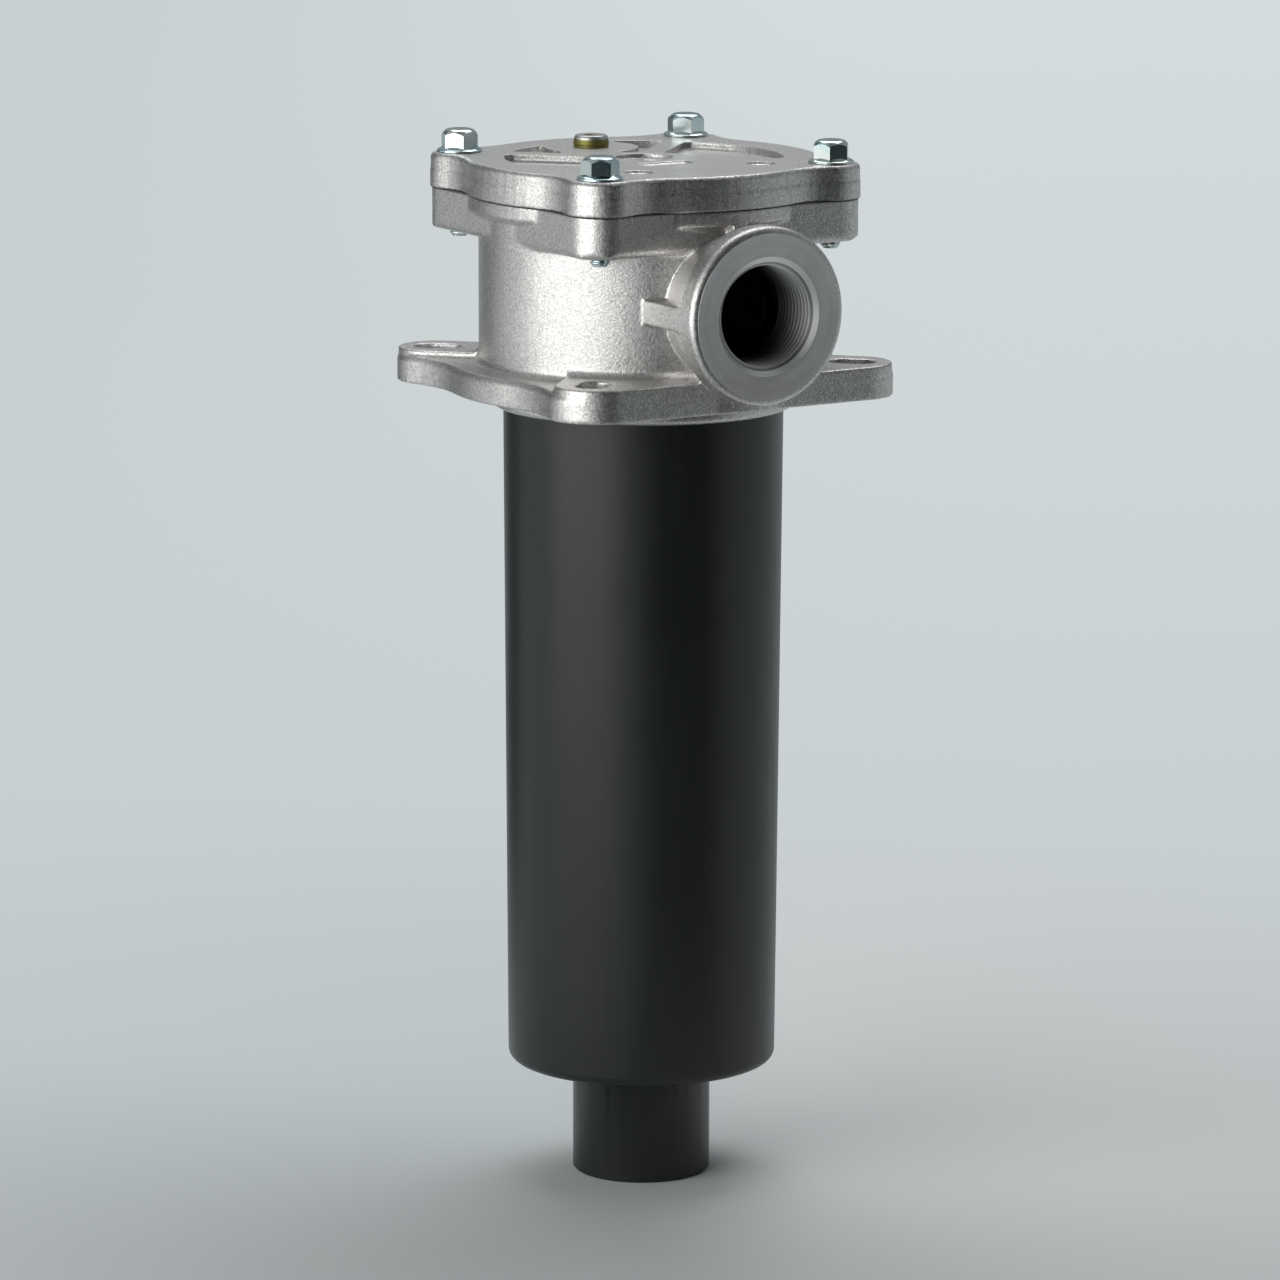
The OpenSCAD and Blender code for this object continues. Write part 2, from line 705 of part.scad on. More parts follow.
module bowl() {
    inner_corner = max(bowl_corner_r - bowl_wall, 1);
    color("#2b2c2d") difference() {
        rotate_extrude() polygon(concat(
            [[spout_bore_r, spout_end_z], [spout_r - spout_chamfer, spout_end_z],
                [spout_r, spout_end_z + spout_chamfer], [spout_r, -bowl_h]],
            arc([bowl_bottom_r - bowl_corner_r, bowl_corner_r - bowl_h], bowl_corner_r, 270, 360, 6),
            [[bowl_top_r, 0], [bowl_top_r, ledge_z], [collar_r, ledge_z], [collar_r, ledge_z + collar_h],
                [bowl_top_r - bowl_wall, ledge_z + collar_h], [bowl_top_r - bowl_wall, 0]],
            arc([bowl_bottom_r - bowl_wall - inner_corner, bowl_inner_z + inner_corner], inner_corner, 0, -90, 4),
            [[spout_bore_r, bowl_inner_z]]
        ));
        translate([0, 0, bowl_seal_z - seal_w / 2]) difference() {
            cylinder(r = collar_r + 1, h = seal_w);
            translate([0, 0, -eps]) cylinder(r = bore_r - seal_t, h = seal_w + 2 * eps);
        }
    }
}

module hold_down_spring() {
    color("#8f9499") translate([0, 0, seat_top]) coil(hold_coil_r, hold_wire_r, hold_turns, roof_z - seat_top);
}

module element_top_cap() {
    color("#9a9da0") difference() {
        translate([0, 0, element_top - cap_t - cap_rim_h]) cylinder(r = element_r, h = cap_t + cap_rim_h);
        translate([0, 0, element_top - cap_t - cap_rim_h - eps]) cylinder(r = element_r - rim_t, h = cap_rim_h + eps);
        translate([0, 0, -bowl_h / 2]) cylinder(r = seat_neck_r + slide_gap, h = bowl_h);
    }
}

module element_bottom_cap() {
    color("#9a9da0") difference() {
        union() {
            translate([0, 0, bowl_inner_z]) cylinder(r = element_r, h = cap_t + cap_rim_h);
            translate([0, 0, bowl_inner_z - neck_h]) cylinder(r = neck_r, h = neck_h + eps);
        }
        translate([0, 0, media_bottom]) cylinder(r = element_r - rim_t, h = cap_rim_h + eps);
        translate([0, 0, bowl_inner_z - neck_h - eps]) cylinder(r = neck_r - neck_wall, h = neck_h + cap_t + 2 * eps);
        translate([0, 0, bowl_inner_z - neck_seal_drop - seal_w / 2]) difference() {
            cylinder(r = neck_r + 1, h = seal_w);
            translate([0, 0, -eps]) cylinder(r = spout_bore_r - seal_t, h = seal_w + 2 * eps);
        }
    }
}

module element_media() {
    step = 360 / pleats;
    color("#d8cfae") translate([0, 0, media_bottom]) linear_extrude(media_h) difference() {
        polygon([for (i = [0:pleats - 1]) each [
            media_r * [cos(i * step), sin(i * step)],
            (media_inner_r + pleat_t) * [cos((i + 0.5) * step), sin((i + 0.5) * step)]
        ]]);
        polygon([for (i = [0:pleats - 1]) each [
            (media_r - pleat_t * 4) * [cos(i * step), sin(i * step)],
            media_inner_r * [cos((i + 0.5) * step), sin((i + 0.5) * step)]
        ]]);
    }
}

module element_core() {
    pitch = media_h / core_rows;
    color("#a9adb0") translate([0, 0, media_bottom]) difference() {
        cylinder(r = core_r, h = media_h);
        translate([0, 0, -eps]) cylinder(r = core_r - core_t, h = media_h + 2 * eps);
        for (row = [0:core_rows - 1], k = [0:core_holes / 2 - 1])
            rotate(k * 360 / core_holes + (row % 2) * 180 / core_holes)
                translate([-core_r - 1, 0, (row + 0.5) * pitch]) rotate([0, 90, 0])
                    cylinder(r = core_hole_r, h = 2 * core_r + 2, $fn = 24);
    }
}

module bypass_seat() {
    color("#3a3c3e") rotate_extrude() polygon([
        [seat_bore_r, seat_z], [cage_r + slide_gap, seat_z], [cage_r + slide_gap, element_top - seat_neck_h],
        [seat_neck_r, element_top - seat_neck_h], [seat_neck_r, element_top],
        [seat_neck_r + seat_rim_w, element_top], [seat_neck_r + seat_rim_w, seat_top],
        [spring_ring_r, seat_top], [spring_ring_r, seat_top + spring_ring_h],
        [spring_ring_r - spring_ring_wall, seat_top + spring_ring_h], [seat_bore_r, seat_top]
    ]);
}

module bypass_poppet() {
    color("#c9b26a") rotate_extrude() polygon([
        [0, stem_end_z], [stem_r, stem_end_z], [stem_r, poppet_z - poppet_boss_h],
        [poppet_boss_r, poppet_z - poppet_boss_h], [poppet_boss_r, poppet_z], [poppet_r, poppet_z],
        [poppet_r, poppet_z + poppet_t], [0, poppet_z + poppet_t]
    ]);
}

module bypass_spring() {
    color("#8f9499") translate([0, 0, cage_floor_z])
        coil(bypass_coil_r, bypass_wire_r, bypass_turns, poppet_z - cage_floor_z);
}

module bypass_cage() {
    window_h = cage_h - cage_floor_t - 2 * window_margin;
    color("#3a3c3e") difference() {
        union() {
            translate([0, 0, cage_floor_z - cage_floor_t]) difference() {
                cylinder(r = cage_r, h = cage_h);
                translate([0, 0, cage_floor_t]) cylinder(r = cage_in_r, h = cage_h);
            }
            translate([0, 0, cage_floor_z - eps]) cylinder(r = guide_r, h = guide_h);
        }
        translate([0, 0, cage_floor_z - cage_floor_t - eps])
            cylinder(r = stem_r + slide_gap, h = cage_floor_t + guide_h + 2 * eps);
        for (k = [0:cage_windows - 1]) rotate(k * 360 / cage_windows)
            translate([0, -window_w / 2, cage_floor_z + window_margin]) cube([cage_r + 1, window_w, window_h]);
    }
}

head();
cover();
cover_seal();
cover_screw(ear_angles[0]);  // cover_screw_front
cover_screw(ear_angles[1]);  // cover_screw_right
cover_screw(ear_angles[2]);  // cover_screw_rear
cover_screw(ear_angles[3]);  // cover_screw_left
gauge_port_plug();
plug_sealing_ring();
bowl();
bowl_seal();
hold_down_spring();
element_top_cap();
element_media();
element_core();
element_bottom_cap();
element_seal();
bypass_seat();
bypass_poppet();
bypass_spring();
bypass_cage();
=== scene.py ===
"""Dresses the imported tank-top return filter.

It adds rounded castings with a cut inlet thread, plated screws, a passivated plug and a moulded bowl,
gives the inner pieces their finishes, and sets a plain pale studio. Places and heights come from the
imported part.
"""

import json
import math

import bpy
import numpy as np
from mathutils import Matrix, Vector


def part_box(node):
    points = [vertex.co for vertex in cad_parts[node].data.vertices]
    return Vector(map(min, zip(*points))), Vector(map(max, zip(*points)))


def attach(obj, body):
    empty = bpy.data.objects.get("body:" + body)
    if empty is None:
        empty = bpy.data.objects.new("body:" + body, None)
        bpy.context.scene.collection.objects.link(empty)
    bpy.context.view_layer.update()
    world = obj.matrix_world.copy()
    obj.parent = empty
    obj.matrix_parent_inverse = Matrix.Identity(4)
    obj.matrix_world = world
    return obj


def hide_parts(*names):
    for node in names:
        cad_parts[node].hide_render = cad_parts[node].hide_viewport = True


bl_info = {
    "name": "Tank-top return filter",
    "version": (1, 0, 0),
    "blender": (4, 5, 0),
    "location": "View3D > Sidebar > Filter",
    "description": "Builds the looks of a tank-top hydraulic return filter around its packed solids",
    "category": "Object",
}

HOUSING = "housing"
MM = 0.001
WELD = 0.001 * MM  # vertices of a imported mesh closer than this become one
MERGE = 0.002 * MM  # the same for a modelled piece

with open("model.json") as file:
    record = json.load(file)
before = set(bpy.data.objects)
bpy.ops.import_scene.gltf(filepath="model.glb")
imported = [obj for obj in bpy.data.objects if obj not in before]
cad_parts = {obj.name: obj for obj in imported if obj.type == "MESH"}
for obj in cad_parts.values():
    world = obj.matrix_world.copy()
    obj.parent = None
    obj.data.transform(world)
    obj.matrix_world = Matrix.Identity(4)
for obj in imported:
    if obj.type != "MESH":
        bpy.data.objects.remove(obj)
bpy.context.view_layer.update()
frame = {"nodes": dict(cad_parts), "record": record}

SCREW_NODES = ("cover_screw_front", "cover_screw_right", "cover_screw_rear", "cover_screw_left")
MOUNTS = {m["name"]: m for m in frame["record"]["mounts"]}
INLET = MOUNTS["inlet"]
INLET_AXIS = Vector(INLET["axis"]).normalized()
INLET_HEIGHT = INLET["pos_m"][2]
# Radii of the inlet in millimetres: the thread's crests, its roots and the chamfer's outer edge
BORE_CREST = INLET["dims"]["r_mm"]
BORE_ROOT = 21.0
BORE_MOUTH = 23.1
JOINT = 77 * MM  # the plane where the cover sits on the head
COVER_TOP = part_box("cover")[1].z
PLUG_LOW, PLUG_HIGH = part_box("gauge_port_plug")
RING_LOW, RING_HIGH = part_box("plug_sealing_ring")
SCREW_LOW, SCREW_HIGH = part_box("cover_screw_right")
FLOOR_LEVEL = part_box("bowl")[0].z

BARE_STEEL = (0.56, 0.57, 0.58)
RUBBED_STEEL = (0.66, 0.65, 0.62)
ROOM = (0.80, 0.86, 0.88)


# ---------------------------------------------------------------------------
# Settings


class CastingSettings(bpy.types.PropertyGroup):
    """How finely the castings are remeshed and how soft their edges are."""

    head_voxel: bpy.props.FloatProperty(
        name="Head detail", description="Edge of a remeshing cell of the head", default=0.6 * MM,
        min=0.4 * MM, unit="LENGTH", precision=5)
    cover_voxel: bpy.props.FloatProperty(
        name="Cover detail", description="Edge of a remeshing cell of the cover", default=0.5 * MM,
        min=0.4 * MM, unit="LENGTH", precision=5)
    softness: bpy.props.IntProperty(
        name="Edge softness", description="Rounds of smoothing that wear the cast edges", default=3,
        min=0, max=20)
    wall_angle: bpy.props.FloatProperty(
        name="Wall bend", description="Least bend, in degrees, that counts as an edge", default=4.5,
        min=1, max=20)
    wall_smoothing: bpy.props.IntProperty(
        name="Wall smoothness", description="Rounds of smoothing of the walls between the edges",
        default=36, min=0)
    triangles: bpy.props.IntProperty(
        name="Triangles", description="Most triangles in one casting", default=170000, min=20000, max=190000)


class ThreadSettings(bpy.types.PropertyGroup):
    """The sizes of the inlet thread and of the cover screws' thread."""

    inlet_pitch: bpy.props.FloatProperty(
        name="Inlet pitch", description="Pitch of the inlet thread", default=2.309 * MM,
        unit="LENGTH", precision=5)
    inlet_depth: bpy.props.FloatProperty(
        name="Inlet thread depth", description="Height of the inlet thread's ridge", default=1.479 * MM,
        unit="LENGTH", precision=5)
    screw_pitch: bpy.props.FloatProperty(
        name="Screw pitch", description="Pitch of the cover screws' thread", default=1.25 * MM,
        unit="LENGTH", precision=5)
    steps: bpy.props.IntProperty(
        name="Steps", description="Steps in one turn of the inlet thread", default=72, min=24)


class FinishSettings(bpy.types.PropertyGroup):
    """The colours of the filter's finishes."""

    aluminium: bpy.props.FloatVectorProperty(
        name="Cast aluminium", description="Colour of the castings", subtype="COLOR", size=3,
        default=(0.64, 0.625, 0.61), min=0, max=1)
    machined: bpy.props.FloatVectorProperty(
        name="Machined aluminium", description="Colour of the cut faces of the inlet", subtype="COLOR",
        size=3, default=(0.66, 0.64, 0.62), min=0, max=1)
    zinc: bpy.props.FloatVectorProperty(
        name="Blue zinc", description="Colour of the plated screws", subtype="COLOR", size=3,
        default=(0.58, 0.75, 0.79), min=0, max=1)
    olive: bpy.props.FloatVectorProperty(
        name="Yellow passivation", description="Colour of the plug", subtype="COLOR", size=3,
        default=(0.27, 0.245, 0.075), min=0, max=1)
    nylon: bpy.props.FloatVectorProperty(
        name="Black nylon", description="Colour of the bowl", subtype="COLOR", size=3,
        default=(0.011, 0.0125, 0.013), min=0, max=1)
    rubber: bpy.props.FloatVectorProperty(
        name="Rubber", description="Colour of the seals", subtype="COLOR", size=3,
        default=(0.02, 0.02, 0.02), min=0, max=1)
    paper: bpy.props.FloatVectorProperty(
        name="Filter paper", description="Colour of the pleats", subtype="COLOR", size=3,
        default=(0.62, 0.55, 0.36), min=0, max=1)
    poppet: bpy.props.FloatVectorProperty(
        name="Poppet plastic", description="Colour of the bypass poppet", subtype="COLOR", size=3,
        default=(0.52, 0.42, 0.20), min=0, max=1)


class StudioSettings(bpy.types.PropertyGroup):
    """The camera, the floor and the lights."""

    camera_place: bpy.props.FloatVectorProperty(
        name="Camera", description="Where the camera stands", subtype="TRANSLATION", size=3,
        default=(0.5841, -2.5346, 0.4034), unit="LENGTH")
    camera_side: bpy.props.FloatProperty(
        name="Heading", description="How far the camera looks to the left of +Y", subtype="ANGLE",
        default=math.radians(13))
    camera_pitch: bpy.props.FloatProperty(
        name="Pitch", description="How far the camera looks down", subtype="ANGLE",
        default=math.radians(10.99))
    camera_roll: bpy.props.FloatProperty(
        name="Roll", description="How far the camera leans", subtype="ANGLE", default=0.003)
    lens: bpy.props.FloatProperty(
        name="Lens", description="Focal length on a 36 mm sensor", default=188.2, unit="CAMERA")
    floor_near: bpy.props.FloatVectorProperty(
        name="Floor", description="Colour of the floor under the filter", subtype="COLOR", size=3,
        default=(0.86, 0.90, 0.90), min=0, max=1)
    floor_far: bpy.props.FloatVectorProperty(
        name="Backdrop", description="Colour that the floor fades to behind the filter", subtype="COLOR",
        size=3, default=(0.685, 0.735, 0.745), min=0, max=1)
    dark: bpy.props.FloatVectorProperty(
        name="Dark side", description="Colour of the unlit room in front and to the right", subtype="COLOR",
        size=3, default=(0.025, 0.03, 0.032), min=0, max=1)
    key_power: bpy.props.FloatProperty(
        name="Key light", description="Power of the left soft box", default=17, unit="POWER")
    top_power: bpy.props.FloatProperty(
        name="Top light", description="Power of the overhead soft box", default=13, unit="POWER")
    fill: bpy.props.FloatProperty(
        name="Fill", description="Brightness of the room", default=0.42, min=0)


# ---------------------------------------------------------------------------
# Modelling helpers


def only(obj):
    """Selects one object and makes it active."""
    if bpy.context.object and bpy.context.object.mode != "OBJECT":
        bpy.ops.object.mode_set(mode="OBJECT")
    bpy.ops.object.select_all(action="DESELECT")
    obj.hide_set(False)
    obj.select_set(True)
    bpy.context.view_layer.objects.active = obj
    return obj


def edit(obj):
    """Opens one object in edit mode with everything selected."""
    only(obj)
    bpy.ops.object.mode_set(mode="EDIT")
    bpy.ops.mesh.select_mode(type="VERT")
    bpy.ops.mesh.select_all(action="SELECT")


def close_edit():
    """Goes back to object mode."""
    bpy.ops.object.mode_set(mode="OBJECT")


def modify(obj, kind, **settings):
    """Adds a modifier to an object and applies it."""
    only(obj)
    modifier = obj.modifiers.new(kind.title(), kind)
    for key, value in settings.items():
        setattr(modifier, key, value)
    bpy.ops.object.modifier_apply(modifier=modifier.name)


def settle(obj):
    """Moves an object's place into its mesh."""
    only(obj)
    bpy.ops.object.transform_apply(location=True, rotation=True, scale=True)


def cad_copy(node, name):
    """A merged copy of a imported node's mesh, as a new object."""
    obj = bpy.data.objects.new(name, frame["nodes"][node].data.copy())
    bpy.context.scene.collection.objects.link(obj)
    obj.data.materials.clear()
    edit(obj)
    bpy.ops.mesh.remove_doubles(threshold=WELD)
    close_edit()
    return obj


def outline(name, points):
    """An open line of edges through points, drawn by extruding one vertex."""
    bpy.ops.object.select_all(action="DESELECT")
    bpy.ops.mesh.primitive_plane_add(size=MM)
    obj = bpy.context.object
    obj.name = obj.data.name = name
    edit(obj)
    bpy.ops.mesh.merge(type="CENTER")
    bpy.ops.transform.translate(value=points[0])
    for here, there in zip(points, points[1:]):
        step = Vector(there) - Vector(here)
        bpy.ops.mesh.extrude_region_move(TRANSFORM_OT_translate={"value": step})
    close_edit()
    return obj


def turned(name, profile, steps):
    """A piece turned about Z from a profile of radius and height, in millimetres."""
    obj = outline(name, [(r * MM, 0, z * MM) for r, z in profile])
    edit(obj)
    bpy.ops.mesh.spin(steps=steps, angle=math.tau, center=(0, 0, 0), axis=(0, 0, 1))
    tidy_shell()
    close_edit()
    return obj


def prism(sides, radius, low, high):
    """An upright prism on the Z axis, its corners at a radius, between two heights, all in millimetres."""
    bpy.ops.object.select_all(action="DESELECT")
    bpy.ops.mesh.primitive_cylinder_add(vertices=sides, radius=radius * MM, depth=(high - low) * MM,
                                        location=(0, 0, (low + high) / 2 * MM))
    obj = bpy.context.object
    settle(obj)
    return obj


def cut(obj, tool, operation="DIFFERENCE"):
    """Cuts an object with another one, which is then removed."""
    modify(obj, "BOOLEAN", operation=operation, object=tool, solver="EXACT")
    bpy.data.objects.remove(tool)


def bevel(obj, width, segments, angle):
    """Rounds the edges that bend more than an angle, in degrees."""
    modify(obj, "BEVEL", width=width * MM, segments=segments, limit_method="ANGLE",
           angle_limit=math.radians(angle))


def tidy_shell():
    """Merges doubles and turns the faces outwards, in edit mode."""
    bpy.ops.mesh.select_all(action="SELECT")
    bpy.ops.mesh.remove_doubles(threshold=MERGE)
    bpy.ops.mesh.normals_make_consistent(inside=False)


def select_rims(obj):
    """Opens an object in edit mode with only its open rims selected."""
    edit(obj)
    bpy.ops.mesh.select_mode(type="EDGE")
    bpy.ops.mesh.select_all(action="DESELECT")
    bpy.ops.mesh.select_non_manifold(extend=False)


def smooth(obj, angle):
    """Shades an object smooth up to an angle, in degrees, with its wide faces kept flat."""
    only(obj)
    bpy.ops.object.shade_smooth_by_angle(angle=math.radians(angle))
    modify(obj, "WEIGHTED_NORMAL", keep_sharp=True)


def join(parts, name):
    """Joins objects into the first of them."""
    only(parts[0])
    for part in parts[1:]:
        part.select_set(True)
    bpy.ops.object.join()
    parts[0].name = parts[0].data.name = name
    return parts[0]


def place(obj, body, slot, *nodes):
    """Puts a finished piece on its body in place of its nodes. The slot is not used."""
    settle(obj)
    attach(obj, body)
    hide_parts(*nodes)


def inlet_turn():
    """The matrix that lays a turned piece along the inlet, with its origin on the filter's axis."""
    turn = Vector((0, 0, 1)).rotation_difference(INLET_AXIS).to_matrix().to_4x4()
    return Matrix.Translation((0, 0, INLET_HEIGHT)) @ turn


def thread_tube(name, inner, outer, pitch, start, end, steps, inside):
    """A helical surface between two radii, cut square at both ends. Inside points its ridges inwards."""
    crest, root = (inner, outer) if inside else (outer, inner)
    flat, flank = pitch * 0.12, pitch * 0.38
    heights = (0, flat, flat + flank, 2 * flat + flank, pitch)
    radii = (root, root, crest, crest, root)
    below = start - 2 * pitch
    obj = outline(name, [(r, 0, below + h) for r, h in zip(radii, heights)])
    turns = math.ceil((end - start) / pitch) + 4
    modify(obj, "SCREW", angle=math.tau, screw_offset=pitch, iterations=turns, steps=steps,
           render_steps=steps)
    edit(obj)
    bpy.ops.mesh.remove_doubles(threshold=MERGE)
    close_edit()
    for height, up in ((start, False), (end, True)):
        edit(obj)
        bpy.ops.mesh.bisect(plane_co=(0, 0, height), plane_no=(0, 0, 1), clear_outer=up,
                            clear_inner=not up, threshold=WELD)
        close_edit()
    return obj


def grow_rim(obj, at_height, loops):
    """Extends the open rim of a tube at a height through circles of radius and height."""
    select_rims(obj)
    close_edit()
    for vertex in obj.data.vertices:
        if abs(vertex.co.z - at_height) > 0.01 * MM:
            vertex.select = False
    for edge in obj.data.edges:
        edge.select = all(obj.data.vertices[i].select for i in edge.vertices) and edge.select
    for radius, height in loops:
        bpy.ops.object.mode_set(mode="EDIT")
        bpy.ops.mesh.extrude_edges_move()
        close_edit()
        for vertex in obj.data.vertices:
            if vertex.select:
                flat = Vector((vertex.co.x, vertex.co.y, 0)).normalized() * radius
                vertex.co = (flat.x, flat.y, height)


# ---------------------------------------------------------------------------
# Finishes


class Link:
    """One output of a shader node. Python's operators on it add Math nodes."""

    def __init__(self, tree, socket=None):
        self.tree = tree
        self.socket = socket

    def node(self, kind, values=(), out=0, **settings):
        """Adds a node with its settings, then the values or links of its inputs."""
        made = self.tree.nodes.new("ShaderNode" + kind)
        for key, value in settings.items():
            setattr(made, key, value)
        for key, value in dict(values).items():
            if isinstance(value, Link):
                self.tree.links.new(value.socket, made.inputs[key])
            else:
                made.inputs[key].default_value = value
        return Link(self.tree, made.outputs[out])

    def math(self, operation, a, b=0.0):
        """A Math node on two values."""
        return self.node("Math", {0: a, 1: b}, operation=operation)

    def __add__(self, other):
        return self.math("ADD", self, other)

    __radd__ = __add__

    def __sub__(self, other):
        return self.math("SUBTRACT", self, other)

    def __rsub__(self, other):
        return self.math("SUBTRACT", other, self)

    def __mul__(self, other):
        return self.math("MULTIPLY", self, other)

    __rmul__ = __mul__

    def __truediv__(self, other):
        return self.math("DIVIDE", self, other)

    def __rtruediv__(self, other):
        return self.math("DIVIDE", other, self)

    def size(self):
        """This value without its sign."""
        return self.math("ABSOLUTE", self)

    def root(self):
        """The square root of this value."""
        return self.math("SQRT", self)

    def capped(self):
        """This value, at most 1."""
        return self.math("MINIMUM", self, 1.0)

    def step(self, low, high):
        """0 below low, 1 above high, and smooth between them."""
        return self.node("MapRange", {"Value": self, "From Min": low, "From Max": high},
                         interpolation_type="SMOOTHSTEP")

    def noise(self, scale, detail=2.0, roughness=0.5):
        """Noise at this vector, about 0.5 on average."""
        return self.node("TexNoise", {"Vector": self, "Scale": scale, "Detail": detail,
                                      "Roughness": roughness})

    def between(self, low, high):
        """A colour between two colours by this factor."""
        return self.over((*low, 1), high)

    def over(self, under, colour):
        """A colour laid over another by this factor."""
        top = colour if isinstance(colour, Link) else (*colour, 1)
        return self.node("Mix", {0: self, 6: under, 7: top}, out=2, data_type="RGBA",
                         clamp_factor=True)

    def part(self, axis):
        """One coordinate of this vector."""
        return self.node("SeparateXYZ", {0: self}, out="XYZ".index(axis))


def finish(name, metallic=0.0, **plain):
    """A new material: its shader, and the object coordinates as a vector."""
    material = bpy.data.materials.new(name)
    material.use_nodes = True
    shader = material.node_tree.nodes["Principled BSDF"]
    shader.inputs["Metallic"].default_value = metallic
    for key, value in plain.items():
        shader.inputs[key.replace("_", " ")].default_value = value
    return material, shader, Link(material.node_tree).node("TexCoord", out=3)


def wire(shader, **links):
    """Joins links to the sockets of a shader."""
    for key, link in links.items():
        link.tree.links.new(link.socket, shader.inputs[key.replace("_", " ")])


def relief(height, strength, distance):
    """The normal of a small height pattern."""
    return height.node("Bump", {"Height": height, "Strength": strength, "Distance": distance})


def shade(colour, factor):
    """A colour made lighter or darker."""
    return tuple(min(1.0, channel * factor) for channel in colour)


def cast_aluminium(name, colour):
    """Sand-grained cast aluminium: clouded tone, fine grain, bright specks painted in as glints and a dark
    line along the cover's joint.
    """
    material, shader, p = finish(name, metallic=1.0)
    cloud = p.noise(22, 4, 0.6)
    clump = p.noise(420, 3, 0.6)
    grain = p.noise(1050, 2, 0.7)
    # Painted glints: bright specks raised in the colour, with lower roughness.
    painted_glint_speck = p.noise(1700, 1, 0.5).step(0.58, 0.70)
    tone = (cloud - 0.5) * 0.5 + (clump - 0.5) * 0.35 + (grain - 0.5) * 1.7 + 0.5
    base = tone.between(shade(colour, 0.62), shade(colour, 1.34))
    seam = 1 - (p.part("Z") - JOINT).size().step(0.15 * MM, 0.65 * MM)
    wire(shader, Base_Color=(seam * 0.75).over(painted_glint_speck.over(base, shade(colour, 1.5)), shade(colour, 0.12)),
         Roughness=0.42 + (grain - 0.5) * 0.2 - painted_glint_speck * 0.16,
         Normal=relief(grain * 0.9 + clump * 0.2 + cloud * 0.5, 0.85, 0.2 * MM))
    return material


def machined_aluminium(name, colour):
    """Cut aluminium with fine turning rings round the inlet's axis, painted lighter at the top, with painted
    shade down the thread, painted light near the mouth and on the crests, and a painted highlight on the
    chamfer.
    """
    material, shader, p = finish(name, metallic=1.0)
    centre = Vector((0, 0, INLET_HEIGHT))
    offset = p.node("VectorMath", {0: p, 1: centre}, operation="SUBTRACT")
    along = offset.node("VectorMath", {0: offset, 1: INLET_AXIS}, out=1, operation="DOT_PRODUCT") / MM
    full = offset.node("VectorMath", {0: offset}, out=1, operation="LENGTH") / MM
    radius = (full * full - along * along).root()
    ring_at = p.node("CombineXYZ", {0: radius * MM, 1: along * (0.2 * MM)})
    rings = ring_at.noise(3200, 2, 0.6)
    broad = ring_at.noise(420, 2, 0.5)
    stain = p.noise(60, 3, 0.6)
    # Painted light: the height term makes the face lighter at the top and darker at the bottom.
    height = p.part("Z") - INLET_HEIGHT
    tone = 0.5 + (rings - 0.5) * 0.7 + (broad - 0.5) * 0.6 + (stain - 0.5) * 0.9 + height * 12
    bare = tone.between(shade(colour, 1.05), shade(colour, 1.65))
    # Painted shade darkens the thread deeper in. Painted light keeps it lighter near the mouth and on its
    # crests.
    crest = radius.step(BORE_CREST - 0.3, BORE_CREST - 0.1)
    crest *= 1 - radius.step(BORE_CREST + 0.1, BORE_CREST + 1)
    painted_mouth_and_crest_light = along.step(68, 88) * (0.4 + crest * 0.6)
    painted_bore_shade = (1 - radius.step(BORE_ROOT - 0.1, BORE_ROOT + 0.1)) * (1 - painted_mouth_and_crest_light)
    # Painted highlight: the chamfer's colour is raised towards white.
    chamfer = radius.step(BORE_ROOT, BORE_ROOT + 0.2) * (1 - radius.step(BORE_MOUTH - 0.2, BORE_MOUTH))
    bare_with_painted_highlight = chamfer.over(bare, shade(colour, 1.6))
    wire(shader, Base_Color=(painted_bore_shade * 0.97).over(bare_with_painted_highlight, shade(colour, 0.05)),
         Roughness=0.5 + (stain - 0.5) * 0.16 - painted_bore_shade * 0.18 - chamfer * 0.04,
         Normal=relief(rings + broad * 0.5, 0.35, 0.05 * MM))
    return material


def plated_zinc(name, colour):
    """Blue zinc plate: glossy, faintly stained and softly dented."""
    material, shader, p = finish(name, metallic=1.0)
    stain = p.noise(180, 3, 0.6)
    dent = p.noise(420, 2, 0.5)
    hue = p.noise(90, 1, 0.5).step(0.35, 0.65)
    base = hue.between(colour, (colour[0] * 1.25, colour[1] * 1.05, colour[2] * 0.98))
    wire(shader, Base_Color=(stain.step(0.62, 0.8) * 0.5).over(base, shade(colour, 0.5)),
         Roughness=0.09 + stain * 0.1, Normal=relief(dent, 0.3, 0.12 * MM))
    return material


def passivated(name, colour):
    """Yellow-green passivation that wear has rubbed to bare metal at the top edge."""
    material, shader, p = finish(name, metallic=0.85)
    mottle = p.noise(260, 3, 0.6)
    ragged = (mottle - 0.5) * 0.9 * MM
    rubbed = (p.part("Z") + ragged).step(PLUG_HIGH.z - 2.3 * MM, PLUG_HIGH.z - 1.5 * MM)
    base = mottle.between(shade(colour, 0.55), shade(colour, 1.35))
    wire(shader, Base_Color=rubbed.over(base, RUBBED_STEEL),
         Roughness=0.42 - rubbed * 0.16 + mottle * 0.1, Normal=relief(mottle, 0.2, 0.1 * MM))
    return material


def moulded_nylon(name, colour):
    """Black glass-filled nylon: satin, with faint flow streaks along its height and a fine pebble."""
    material, shader, p = finish(name, Specular_IOR_Level=0.5)
    stretched = p.node("Mapping", {0: p, 3: (1.0, 1.0, 0.06)})
    streak = stretched.noise(260, 3, 0.6)
    cloud = p.noise(14, 3, 0.55)
    pebble = p.noise(1500, 2, 0.6)
    haze = (streak - 0.5) * 0.6 + (cloud - 0.5) * 0.8 + 0.5
    wire(shader, Base_Color=haze.between(shade(colour, 0.75), shade(colour, 1.35)),
         Roughness=0.34 + (streak - 0.5) * 0.12 + (cloud - 0.5) * 0.14,
         Normal=relief(pebble + streak * 0.5, 0.22, 0.06 * MM))
    return material


